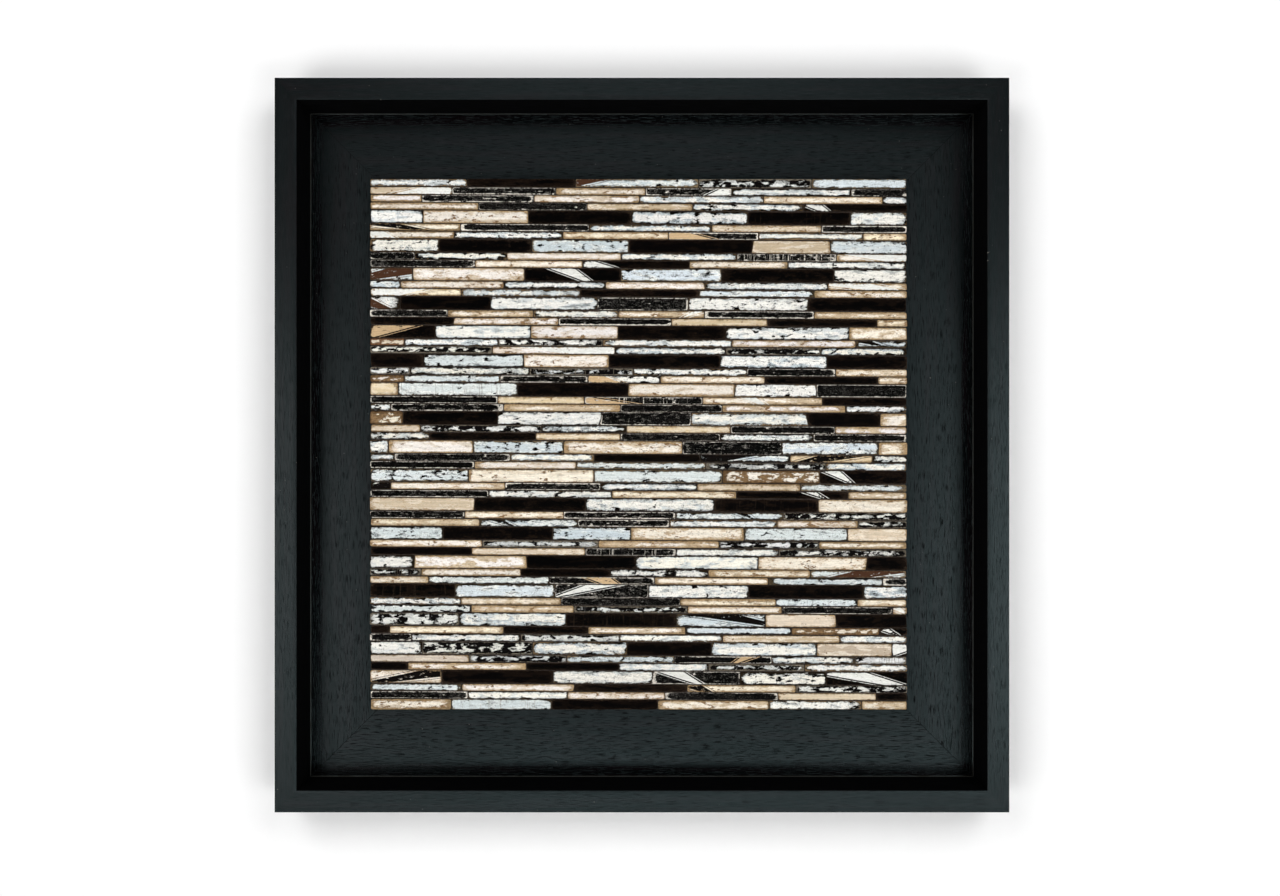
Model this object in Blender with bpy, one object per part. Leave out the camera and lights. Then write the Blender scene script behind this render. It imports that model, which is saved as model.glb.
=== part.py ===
# Square wall panel: a mosaic of reclaimed teak strips on a board, held in a deep black-stained frame.
# The frame is four mitred rails of L section. The tall leg of the L is the frame's wall and front
# face, and the low, wide leg is the base that the board sits on, with a clear margin all round it.
#
# Metres. +Z is up, the panel faces -Y and its back lies on the wall plane y = 0. The origin is the
# middle of the top rail's flat back, where the panel bears on the wall.

import bmesh
import bpy
import numpy as np

MM = 0.001

# frame
SIDE = 600.0 * MM            # outer side of the square
DEPTH = 54.0 * MM            # back to front face
FACE = 18.0 * MM             # width of the front face, which is the thickness of the wall
BASE_T = 12.0 * MM           # thickness of the low leg
BASE_W = 72.0 * MM           # how far the low leg runs in from the wall
ARRIS = 0.5 * MM             # flat eased on both front edges
FOOT_R = 0.8 * MM            # small hollow where the wall meets the base
MITRE_GAP = 0.3 * MM         # between neighbouring rails, square to the mitre

# board
BOARD_W = 450.0 * MM
BOARD_H = 446.0 * MM
BOARD_T = 8.7 * MM
BOARD_DX = -2.8 * MM         # the board sits a little left of the frame's middle
BOARD_DZ = 0.8 * MM
TOUCH = 0.3 * MM             # between pieces that bear on each other
EDGE_KEEP = 0.6 * MM         # the strips run past the board's edge at the ends of the rows

# strips
STRIP_T = 4.7 * MM
WIDE = 10.7 * MM
THIN = 5.97 * MM
FIRST = 7.3 * MM             # the first and last rows are wide strips ripped down to fit
LAST = 8.0 * MM
JOINT = 0.5 * MM             # open joint between rows
DROP = -2.2 * MM             # how much lower a row ends on the right than it starts on the left
EASE = 0.45 * MM             # worn long edges of a strip
NOTCH_HALF = 0.65 * MM       # the worn ends of two strips make a small V between them
NOTCH_DEEP = 1.15 * MM
MEAN_LENGTH = 87.0 * MM
SPREAD = 11.0 * MM
SHORTEST = 61.0 * MM
LONGEST = 108.0 * MM
SMALLEST_OFFCUT = 11.0 * MM
STAGGER = 5.0 * MM           # least distance between the joints of neighbouring rows
SEED = 56

TOP = BASE_W / 2 + FACE / 2  # height of the frame's top above the origin
MID_Z = TOP - SIDE / 2
PANEL_X = BOARD_DX
PANEL_Z = MID_Z + BOARD_DZ
BOARD_BACK = -(BASE_T + TOUCH)
BOARD_FRONT = BOARD_BACK - BOARD_T
STRIP_BACK = BOARD_FRONT - TOUCH
STRIP_FRONT = STRIP_BACK - STRIP_T


def clear_scene():
    """Empties the scene."""
    for old in list(bpy.data.objects):
        bpy.data.objects.remove(old)


def material(name, colour, roughness):
    """A plain finish."""
    made = bpy.data.materials.new(name)
    made.use_nodes = True
    shader = made.node_tree.nodes["Principled BSDF"]
    shader.inputs["Base Color"].default_value = (*colour, 1.0)
    shader.inputs["Roughness"].default_value = roughness
    return made


def solid(name, points, faces, colour, roughness):
    """One closed body from its corners and faces, turned to face outwards."""
    mesh = bpy.data.meshes.new(name)
    mesh.from_pydata([tuple(float(c) for c in p) for p in points], [], faces)
    work = bmesh.new()
    work.from_mesh(mesh)
    bmesh.ops.triangulate(work, faces=work.faces[:])
    bmesh.ops.recalc_face_normals(work, faces=work.faces[:])
    if work.calc_volume(signed=True) < 0:
        bmesh.ops.reverse_faces(work, faces=work.faces[:])
    work.to_mesh(mesh)
    work.free()
    made = bpy.data.objects.new(name, mesh)
    made.data.materials.append(material(name + "_finish", colour, roughness))
    bpy.context.scene.collection.objects.link(made)
    return made


def rail_profile():
    """The L section: (distance in from the frame's outer side, y), once round."""
    foot = []
    for turn in np.linspace(0.0, np.pi / 2, 4):
        foot.append((FACE + FOOT_R * (1 - np.sin(turn)), -BASE_T - FOOT_R * (1 - np.cos(turn))))
    lower = [(0.0, 0.0), (FACE + BASE_W, 0.0), (FACE + BASE_W, -BASE_T)]
    upper = [(FACE, -DEPTH + ARRIS), (FACE - ARRIS, -DEPTH), (ARRIS, -DEPTH), (0.0, -DEPTH + ARRIS)]
    return lower + foot + upper


def rail(name, quarter):
    """One rail: the L section swept along one side and cut at 45 degrees at both ends.

    quarter counts quarter turns clockwise from the top rail.
    """
    section = rail_profile()
    trim = MITRE_GAP / np.sqrt(2)
    points = []
    for end in (-1.0, 1.0):
        for inward, y in section:
            along = end * (SIDE / 2 - inward - trim)
            out = SIDE / 2 - inward
            for _ in range(quarter):
                along, out = out, -along
            points.append((along, y, MID_Z + out))
    count = len(section)
    faces = [tuple(range(count)), tuple(range(2 * count - 1, count - 1, -1))]
    for i in range(count):
        j = (i + 1) % count
        faces.append((i, j, count + j, count + i))
    return solid(name, points, faces, (0.020, 0.024, 0.025), 0.42)


def backing_board():
    """The flat board under the strips."""
    points = []
    for y in (BOARD_BACK, BOARD_FRONT):
        for dx, dz in ((-1, -1), (1, -1), (1, 1), (-1, 1)):
            points.append((PANEL_X + dx * BOARD_W / 2, y, PANEL_Z + dz * BOARD_H / 2))
    faces = [(0, 1, 2, 3), (7, 6, 5, 4)]
    for i in range(4):
        j = (i + 1) % 4
        faces.append((i, j, 4 + j, 4 + i))
    return solid("backing_board", points, faces, (0.060, 0.036, 0.021), 0.7)


def row_heights():
    """A wide strip, three thin ones, then wide, thin, thin over and over, ending on a wide one."""
    return [FIRST, THIN, THIN, THIN] + [WIDE, THIN, THIN] * 17 + [LAST]


def lay_rows():
    """Sets out every row: its upper and lower edge at x = 0, whether an edge is cut level, and joints.

    Lengths scatter about a mean. A joint too near one in the row above is moved.
    """
    chance = np.random.default_rng(SEED)
    heights = row_heights()
    total = sum(heights) + JOINT * (len(heights) - 1)
    top = total / 2
    above = []
    rows = []
    for k, height in enumerate(heights):
        left = -BOARD_W / 2 - EDGE_KEEP * chance.uniform(-0.6, 1.0)
        right = BOARD_W / 2 + EDGE_KEEP * chance.uniform(-0.6, 1.0)
        cuts = [left]
        first = True
        while True:
            length = float(np.clip(chance.normal(MEAN_LENGTH, SPREAD), SHORTEST, LONGEST))
            if first:
                length = chance.uniform(SMALLEST_OFFCUT, LONGEST)
            first = False
            at = cuts[-1] + length
            for other in above:
                if abs(at - other) < STAGGER:
                    at = other + STAGGER * (1 if at >= other else -1)
            if at > right - SMALLEST_OFFCUT:
                break
            cuts.append(at)
        if right - cuts[-1] > LONGEST:
            cuts.append(0.5 * (cuts[-1] + right))
        cuts.append(right)
        above = cuts[1:-1]
        rows.append({"top": top, "bottom": top - height, "cuts": cuts, "level_top": k == 0,
                     "level_bottom": k == len(heights) - 1})
        top -= height + JOINT
    return rows


def stations_of(cuts):
    """Where a row's face changes along x: (x, drop of the long edges, drop of the face)."""
    found = [(cuts[0], EASE, EASE), (cuts[0] + EASE, EASE, 0.0)]
    for x in cuts[1:-1]:
        found.append((x - NOTCH_HALF, EASE, 0.0))
        found.append((x, NOTCH_DEEP, NOTCH_DEEP))
        found.append((x + NOTCH_HALF, EASE, 0.0))
    return found + [(cuts[-1] - EASE, EASE, 0.0), (cuts[-1], EASE, EASE)]


def row_solid(name, rows):
    """Strips of one row as one body: straight long edges, eased, with a V at each end joint.

    Rows made as one body share their two ends, and a groove as wide as a joint runs between them.
    """
    slope = DROP / BOARD_W
    ends = (rows[0]["cuts"][0], rows[0]["cuts"][-1])
    points = []
    faces = []

    def line(row, x, key):
        level = row["level_" + key]
        return PANEL_Z + row[key] + (0.0 if level else slope * x)

    def corners(y, row, key):
        first = len(points)
        for x in ends:
            points.append((PANEL_X + x, y, line(row, x, key)))
        return first

    back_top = corners(STRIP_BACK, rows[0], "top")
    left_cap = [back_top]
    right_cap = [back_top + 1]
    above = (back_top, back_top + 1)
    for row in rows:
        cuts = [ends[0]] + row["cuts"][1:-1] + [ends[1]]
        marks = stations_of(cuts)
        base = len(points)
        for x, shoulder, crown in marks:
            low = line(row, x, "bottom")
            high = line(row, x, "top")
            points.append((PANEL_X + x, STRIP_FRONT + shoulder, high))
            points.append((PANEL_X + x, STRIP_FRONT + crown, high - EASE))
            points.append((PANEL_X + x, STRIP_FRONT + crown, low + EASE))
            points.append((PANEL_X + x, STRIP_FRONT + shoulder, low))
        n = len(marks)
        for i in range(n - 1):
            for j in range(3):
                a = base + 4 * i + j
                faces.append((a, a + 1, a + 5, a + 4))
        faces.append(tuple([above[1], above[0]] + [base + 4 * i for i in range(n)]))
        last_row = row is rows[-1]
        foot = STRIP_BACK if last_row else STRIP_FRONT + NOTCH_DEEP
        under = corners(foot, row, "bottom")
        faces.append(tuple([under, under + 1] + [base + 4 * i + 3 for i in range(n - 1, -1, -1)]))
        left_cap += [base, base + 1, base + 2, base + 3, under]
        right_cap += [base + 4 * n - 4, base + 4 * n - 3, base + 4 * n - 2, base + 4 * n - 1, under + 1]
        above = (under, under + 1)
        if not last_row:
            over = corners(foot, rows[rows.index(row) + 1], "top")
            faces.append((under, over, over + 1, under + 1))
            left_cap.append(over)
            right_cap.append(over + 1)
            above = (over, over + 1)
    faces.append((back_top, above[0], above[1], back_top + 1))
    faces.append(tuple(left_cap))
    faces.append(tuple(reversed(right_cap)))
    return solid(name, points, faces, (0.520, 0.455, 0.360), 0.6)


clear_scene()
rail("frame_rail_top", 0)
rail("frame_rail_right", 1)
rail("frame_rail_bottom", 2)
rail("frame_rail_left", 3)
backing_board()
laid = lay_rows()
for number, row in enumerate(laid[:-2], start=1):
    row_solid("strip_row_%02d" % number, [row])
row_solid("strip_rows_55_56", laid[-2:])
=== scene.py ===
# %% [markdown]
# # A wall panel of reclaimed teak strips
#
# This lesson dresses a square wall panel. About three hundred sawn strips of old painted teak are
# glued in rows to a board, and the board sits in a deep black frame of four mitred rails. The plain
# solids are already made and packed. They are loaded first, because every piece made here has to
# lie exactly where its solid lies.

# %% Load the packed model
import math
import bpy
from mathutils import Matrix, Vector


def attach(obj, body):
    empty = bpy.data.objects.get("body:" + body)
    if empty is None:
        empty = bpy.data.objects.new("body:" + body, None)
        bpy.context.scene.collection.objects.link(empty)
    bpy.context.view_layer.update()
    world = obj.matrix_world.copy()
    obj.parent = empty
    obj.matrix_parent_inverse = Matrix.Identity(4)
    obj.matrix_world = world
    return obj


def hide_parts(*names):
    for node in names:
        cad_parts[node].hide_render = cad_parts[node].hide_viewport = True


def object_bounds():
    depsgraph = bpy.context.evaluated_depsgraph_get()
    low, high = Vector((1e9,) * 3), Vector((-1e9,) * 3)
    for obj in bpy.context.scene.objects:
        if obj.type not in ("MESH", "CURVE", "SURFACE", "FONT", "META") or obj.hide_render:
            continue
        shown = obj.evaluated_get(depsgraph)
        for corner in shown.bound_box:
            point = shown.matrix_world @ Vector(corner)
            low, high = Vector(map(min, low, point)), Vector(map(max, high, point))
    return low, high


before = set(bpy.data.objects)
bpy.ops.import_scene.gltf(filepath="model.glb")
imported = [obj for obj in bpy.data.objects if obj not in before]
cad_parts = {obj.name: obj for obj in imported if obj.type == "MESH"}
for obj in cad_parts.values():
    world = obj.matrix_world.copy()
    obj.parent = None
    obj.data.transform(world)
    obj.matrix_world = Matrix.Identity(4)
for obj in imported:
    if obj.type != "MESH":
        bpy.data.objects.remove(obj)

from types import SimpleNamespace

import bpy
import numpy as np

MM = 0.001
cad_low, cad_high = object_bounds()
middle = (cad_low + cad_high) / 2
print("packed box from", [round(c, 4) for c in cad_low], "to", [round(c, 4) for c in cad_high])

# %% [markdown]
# ## Camera
#
# The panel hangs upright and faces -Y, and it is seen square on. How quickly the deep frame
# narrows towards its foot tells how near the eye is: here one metre in front of the frame's face.
# The camera comes first, so that everything after it can be judged through it.

# %% Camera
EYE_DISTANCE = 1.0                      # from the frame's face (m)
EYE_X, EYE_Z = -1.6 * MM, -2.4 * MM     # the eye is not quite on the panel's middle
LENS = 34.45                            # mm, with a sensor 36 mm wide
camera_data = bpy.data.cameras.new("eye")
camera_data.lens = LENS
camera_data.sensor_width = 36.0
camera_data.clip_start = 0.01
camera_data.clip_end = 100.0
camera = bpy.data.objects.new("eye", camera_data)
camera.location = (middle.x + EYE_X, cad_low.y - EYE_DISTANCE, middle.z + EYE_Z)
camera.rotation_euler = (math.radians(90), 0, 0)
bpy.context.scene.collection.objects.link(camera)
bpy.context.scene.camera = camera
print("camera", EYE_DISTANCE, "m from the frame's face")

# %% [markdown]
# ## From arrays to a mesh
#
# Every piece below is worked out as whole numpy arrays in millimetres: points, four-cornered faces
# and a few larger faces that close a shape. One helper puts them into a mesh in metres. It also
# stores a flat map, in millimetres along and across the timber, and any number kept for each point,
# because the finishes are laid out along the wood and not along the room.

# %% Mesh helpers
def grid_faces(rows, columns):
    """Faces of a grid of points numbered row by row: (i, j), (i+1, j), (i+1, j+1), (i, j+1)."""
    at = np.arange(rows * columns).reshape(rows, columns)
    return np.stack([at[:-1, :-1], at[1:, :-1], at[1:, 1:], at[:-1, 1:]], axis=-1).reshape(-1, 4)


def walled_grid(rows, columns, loops):
    """A grid with loops of further points under its outline, closed below by one large face.

    Gives the faces, the closing face, and for every point the grid point that it lies under.
    """
    number = np.arange(rows * columns).reshape(rows, columns)
    ring = np.concatenate([number[:, 0], number[-1, 1:], number[-2::-1, -1], number[0, -2:0:-1]])
    quads = [grid_faces(rows, columns)]
    above = ring
    for k in range(loops):
        below = number.size + k * len(ring) + np.arange(len(ring))
        quads.append(np.stack([np.roll(above, -1), above, below, np.roll(below, -1)], axis=-1))
        above = below
    return np.concatenate(quads), above[::-1], np.concatenate([number.ravel()] + [ring] * loops)


def mesh_piece(name, points, quads, caps, flat_map, numbers, sharp=35.0):
    """One piece from points (mm), quads, larger closing faces, a flat map and numbers for each point.

    numbers maps a name to one number, or to a colour and a fourth number, for each point.
    """
    corners = np.concatenate([quads.ravel()] + [np.asarray(c) for c in caps]).astype(np.int32)
    sizes = np.array([4] * len(quads) + [len(c) for c in caps])
    starts = np.concatenate([[0], np.cumsum(sizes)[:-1]]).astype(np.int32)
    mesh = bpy.data.meshes.new(name)
    mesh.vertices.add(len(points))
    mesh.vertices.foreach_set("co", (points * MM).astype(np.float32).ravel())
    mesh.loops.add(len(corners))
    mesh.loops.foreach_set("vertex_index", corners)
    mesh.polygons.add(len(sizes))
    mesh.polygons.foreach_set("loop_start", starts)
    mesh.update(calc_edges=True)
    mesh.polygons.foreach_set("use_smooth", np.ones(len(sizes), dtype=bool))
    mesh.set_sharp_from_angle(angle=math.radians(sharp))
    layer = mesh.uv_layers.new(name="timber")
    layer.data.foreach_set("uv", flat_map[corners].astype(np.float32).ravel())
    for key, values in numbers.items():
        values = np.asarray(values, dtype=np.float32)
        kind, field = ("FLOAT", "value") if values.ndim == 1 else ("FLOAT_COLOR", "color")
        mesh.attributes.new(key, kind, "POINT").data.foreach_set(field, values.ravel())
    made = bpy.data.objects.new(name, mesh)
    bpy.context.scene.collection.objects.link(made)
    return made


print("a grid of 3 by 4 points has", len(grid_faces(3, 4)), "faces, and", len(walled_grid(3, 4, 1)[0]),
      "with one wall round it")

# %% [markdown]
# ## Unevenness
#
# Old sawn timber is never quite flat or straight. Smooth noise gives that: a repeatable number on
# every crossing of a grid, blended from one crossing to the next. Several layers, each finer and
# fainter, look like wear.

# %% Smooth noise on arrays
def crossing(i, j, seed):
    """A repeatable number from 0 to 1 for a grid crossing: a large sine less its whole part.

    The factors only have to be large and unlike each other, so that neighbours have nothing in common.
    """
    value = np.sin(i * 127.1 + j * 311.7 + seed * 74.7) * 43758.5453
    return value - np.floor(value)


def smooth_noise(x, z, seed):
    """Numbers on the four crossings around a point, blended by 3f^2 - 2f^3 along x and z."""
    i, j = np.floor(x), np.floor(z)
    fx, fz = x - i, z - j
    sx, sz = fx * fx * (3 - 2 * fx), fz * fz * (3 - 2 * fz)
    low = crossing(i, j, seed) * (1 - sx) + crossing(i + 1, j, seed) * sx
    high = crossing(i, j + 1, seed) * (1 - sx) + crossing(i + 1, j + 1, seed) * sx
    return low * (1 - sz) + high * sz


def layered_noise(x, z, seed, layers=3):
    """Layers of smooth noise, each twice as fine and half as strong, brought back to 0 to 1."""
    total, strength = 0.0, 0.0
    for k in range(layers):
        total = total + smooth_noise(x * 2**k, z * 2**k, seed + 13 * k) * 0.5**k
        strength += 0.5**k
    return total / strength


sample = layered_noise(np.linspace(0, 50, 4000), np.linspace(0, 30, 4000), 1.0)
print("layered noise runs from", round(sample.min(), 2), "to", round(sample.max(), 2))

# %% [markdown]
# ## Setting out the rows
#
# The rows repeat: one of wide strips, then two of thin ones. The lengths scatter about a mean, as
# offcuts do, and a joint never falls just under another. The first and last rows are ripped narrower
# to fit. These are the same named sizes and the same seeded draws as in the solids, so each strip
# here lies on its own place in its row. All sizes are in millimetres.

# %% Set out the rows
WIDE, THIN = 10.7, 5.97                # heights of the two sorts of strip
FIRST, LAST = 7.3, 8.0                 # the outer rows, ripped down to fit
JOINT = 0.5                            # left open between rows
BOARD_W, BOARD_H = 450.0, 446.0
PANEL_X, PANEL_Z = -2.8, middle.z / MM + 0.8    # middle of the board
BOARD_BACK, BOARD_FRONT = -12.3, -21.0
STRIP_BACK, STRIP_FRONT = -21.3, -26.0
DROP = -2.2                            # how much lower a row ends on the right than on the left
MEAN_LENGTH, SPREAD = 87.0, 11.0
SHORTEST, LONGEST, SMALLEST_OFFCUT = 61.0, 108.0, 11.0
STAGGER = 5.0                          # least distance between joints of neighbouring rows
EDGE_KEEP = 0.6                        # how unevenly the rows end
LAYOUT_SEED = 56


def lay_rows():
    """Rows from top to bottom: edges at the middle, which edges are level, joints, and whether wide."""
    chance = np.random.default_rng(LAYOUT_SEED)
    heights = [FIRST, THIN, THIN, THIN] + [WIDE, THIN, THIN] * 17 + [LAST]
    top = (sum(heights) + JOINT * (len(heights) - 1)) / 2
    above, rows = [], []
    for k, height in enumerate(heights):
        cuts = [-BOARD_W / 2 - EDGE_KEEP * chance.uniform(-0.6, 1.0)]
        right = BOARD_W / 2 + EDGE_KEEP * chance.uniform(-0.6, 1.0)
        while True:
            length = float(np.clip(chance.normal(MEAN_LENGTH, SPREAD), SHORTEST, LONGEST))
            if len(cuts) == 1:
                length = chance.uniform(SMALLEST_OFFCUT, LONGEST)
            at = cuts[-1] + length
            for other in above:
                if abs(at - other) < STAGGER:
                    at = other + STAGGER * (1 if at >= other else -1)
            if at > right - SMALLEST_OFFCUT:
                break
            cuts.append(at)
        if right - cuts[-1] > LONGEST:
            cuts.append(0.5 * (cuts[-1] + right))
        cuts.append(right)
        above = cuts[1:-1]
        rows.append({"top": top, "bottom": top - height, "cuts": cuts, "level_top": k == 0,
                     "level_bottom": k == len(heights) - 1, "wide": height > THIN + 1})
        top -= height + JOINT
    return rows


def edge_line(row, key, x):
    """Height of a row's upper or lower edge at x: a line that falls to the right, or a level cut."""
    fall = 0.0 if row["level_" + key] else DROP / BOARD_W
    return PANEL_Z + row[key] + fall * x


rows = lay_rows()
print(len(rows), "rows,", sum(len(r["cuts"]) - 1 for r in rows), "strips")

# %% [markdown]
# ## The grid of one strip
#
# A strip is a sawn stick whose upper edges have been worn round. Its face is a grid of points, close
# together near the edges, where it bends most. The four corners are drawn in to small rounds. Moving
# the grid's own points does that with four-cornered faces only, where cutting corners off would not.

# %% The grid of one strip
EDGE_BAND = 1.4                        # the grid is even from here in
PITCH_ALONG, PITCH_ACROSS = 2.4, 1.5


def side_steps(length, pitch):
    """Points along a side from 0 to length: close together at both ends, then about a pitch apart."""
    near = np.array([0.0, 0.25, 0.75])
    count = max(int(round((length - 2 * EDGE_BAND) / pitch)), 1)
    inner = np.linspace(EDGE_BAND, length - EDGE_BAND, count + 1)
    return np.concatenate([near, inner, length - near[::-1]])


def strip_grid(length, height, corner):
    """A grid over (along, across), from the strip's middle, with its four corners drawn in.

    Each distance is shortened by corner * over * (1 - sqrt(1 - other^2 / 2)), where over and other are
    how far the point is into the corner, from 0 to 1, by this distance and by the other one.
    """
    along = side_steps(length, PITCH_ALONG) - length / 2
    across = side_steps(height, PITCH_ACROSS) - height / 2
    a, b = np.meshgrid(along, across, indexing="ij")
    over_a = np.clip((np.abs(a) - (length / 2 - corner)) / corner, 0, 1)
    over_b = np.clip((np.abs(b) - (height / 2 - corner)) / corner, 0, 1)
    a = a + np.sign(a) * corner * over_a * (np.sqrt(1 - over_b**2 / 2) - 1)
    b = b + np.sign(b) * corner * over_b * (np.sqrt(1 - over_a**2 / 2) - 1)
    return a, b


print("steps across a wide strip", side_steps(WIDE, PITCH_ACROSS).round(2))

# %% [markdown]
# ## How the face falls away
#
# The distance in from the outline decides how far the surface has dropped: a quarter of an ellipse at
# the edge, then a very low crown. A second distance, to the rim, is longer where an end or a side is
# less worn, and the finish reads it. Paint that is left stands a little above bare timber, so the noise
# that decides where paint is left is worked out here and handed on to the finish.

# %% The face of one strip
ROUND = 2.2                            # corner radius of the paint that is left on a face
CROWN, CHIP_DEPTH, UNEVEN = 0.16, 0.13, 0.22    # height of the crown, of the paint and of the wear


def inset(end_gap, side_gap, radius):
    """Distance in from a rectangle with round corners, from the gaps to its nearest end and side.

    Within the corner square it is radius - hypot(radius - end gap, radius - side gap), and elsewhere
    it is the smaller gap.
    """
    corner = np.hypot(np.maximum(radius - end_gap, 0), np.maximum(radius - side_gap, 0))
    return radius - corner + np.maximum(np.minimum(end_gap, side_gap) - radius, 0)


def strip_face(a, b, length, height, w):
    """The face's y, and for each point the distance in from the edge and from the rim, and the paint.

    y = face + drop * (1 - sqrt(1 - (1 - edge / ease)^2)) within ease of the edge, less the crown and
    the paint that is left. The rim lies further in where an end or a side is more worn.
    """
    end_gap = length / 2 - np.abs(a)
    side_gap = height / 2 - np.abs(b)
    edge = np.maximum(inset(end_gap, side_gap, w.corner), 0.0)
    end_gap = end_gap * np.where(a < 0, w.ends[0], w.ends[1])
    side_gap = side_gap * np.where(b < 0, w.sides[0], w.sides[1])
    rim = inset(end_gap, side_gap, min(ROUND, 0.46 * height))
    fall = w.drop * (1 - np.sqrt(1 - np.clip(1 - edge / w.ease, 0, 1) ** 2))
    crown = CROWN * np.cos(np.pi * b / height) * np.cos(np.pi * a / (length + 8))
    paint = layered_noise(a / 5.0 + 40 * w.seed, b / 2.6, w.seed, 3)
    rough = layered_noise(a / 9.0, b / 4.0 + 7 * w.seed, w.seed + 5, 2) - 0.5
    chips = np.clip((paint - w.level) / 0.08, 0, 1)
    return w.face + fall - crown * w.crown - CHIP_DEPTH * chips - UNEVEN * rough, edge, rim, paint


corner_gap = round(float(inset(1.0, 1.0, ROUND)), 2)
print("1 mm in from both sides of a corner is", corner_gap, "mm in from its round")

# %% [markdown]
# ## A closed strip
#
# Each end is cut at a slight slant that the neighbour shares, so the joint stays open and even. The
# long edges wander a little, as a saw does. Under the outline of the face, two loops of points make the
# walls, which go down to the board, so that the joints between the strips are really open.

# %% A closed strip
WAVE = 0.16                            # how far the long edges wander
SHOULDER = 0.9                         # depth of the upper loop of points in the walls


def strip_surface(row, left, right, slants, w):
    """A closed strip between two joints: its face, with walls down to the board. w is its wear."""
    centre = 0.5 * (left + right)
    low = edge_line(row, "bottom", centre) + w.short[0]
    high = edge_line(row, "top", centre) - w.short[1]
    length, height = right - left, high - low
    a, b = strip_grid(length, height, w.corner)
    y, edge, rim, paint = strip_face(a, b, length, height, w)
    bend = (a / length + 0.5) * np.tan(slants[1]) + (0.5 - a / length) * np.tan(slants[0])
    x = centre + a + b * bend
    upper = edge_line(row, "top", x) - w.short[1]
    lower = edge_line(row, "bottom", x) + w.short[0]
    wave = WAVE * (smooth_noise(a / 17 + 9 * w.seed, np.sign(b) * 3.5, w.seed + 2) - 0.5)
    z = (upper + lower) / 2 + b * (upper - lower) / height + wave * 2 * b / height

    quads, cap, over = walled_grid(*a.shape, 2)
    around = (len(over) - a.size) // 2
    deep = np.repeat([0.0, SHOULDER, STRIP_BACK - w.face - w.drop], [a.size, around, around])
    points = np.stack([x, y, z], axis=-1).reshape(-1, 3)[over]
    points[:, 1] = np.minimum(points[:, 1] + deep, STRIP_BACK)
    points[-around:, 1] = STRIP_BACK
    flat = np.stack([a, b], axis=-1).reshape(-1, 2)[over]
    outward = np.sign(flat) * (np.abs(flat) > np.array([length, height]) / 2 - 0.3)
    return {"points": points, "quads": quads, "cap": cap, "flat": flat + deep[:, None] * outward,
            "edge": np.where(deep > 0, -deep, edge.ravel()[over]), "rim": rim.ravel()[over],
            "paint": paint.ravel()[over]}


print("a strip's walls are", round(STRIP_BACK - STRIP_FRONT, 2), "mm deep")

# %% [markdown]
# ## What each strip was painted
#
# The strips come from old painted timber, so each kept its own coats. A few kinds come back again and
# again: cream worn to tan at the rims, white and ice-blue with dark flecks, solid black, black with a
# thin pale rim, black and white in patches, tan or brown with islands of white. Each kind is a coat,
# what shows where it is worn through, the colour of the worn rim, and two tints that cloud it. A table
# of kinds is easier to tune than a finish for each strip. Colours are written as they look on a screen,
# 0 to 255, and turned into amounts of light.

# %% Kinds of paint
def seen(red, green, blue):
    """Screen colour to light: ((c / 255 + 0.055) / 1.055)^2.4, or c / 255 / 12.92 where dark."""
    c = np.array([red, green, blue]) / 255
    return np.where(c > 0.04045, ((c + 0.055) / 1.055) ** 2.4, c / 12.92)


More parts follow.
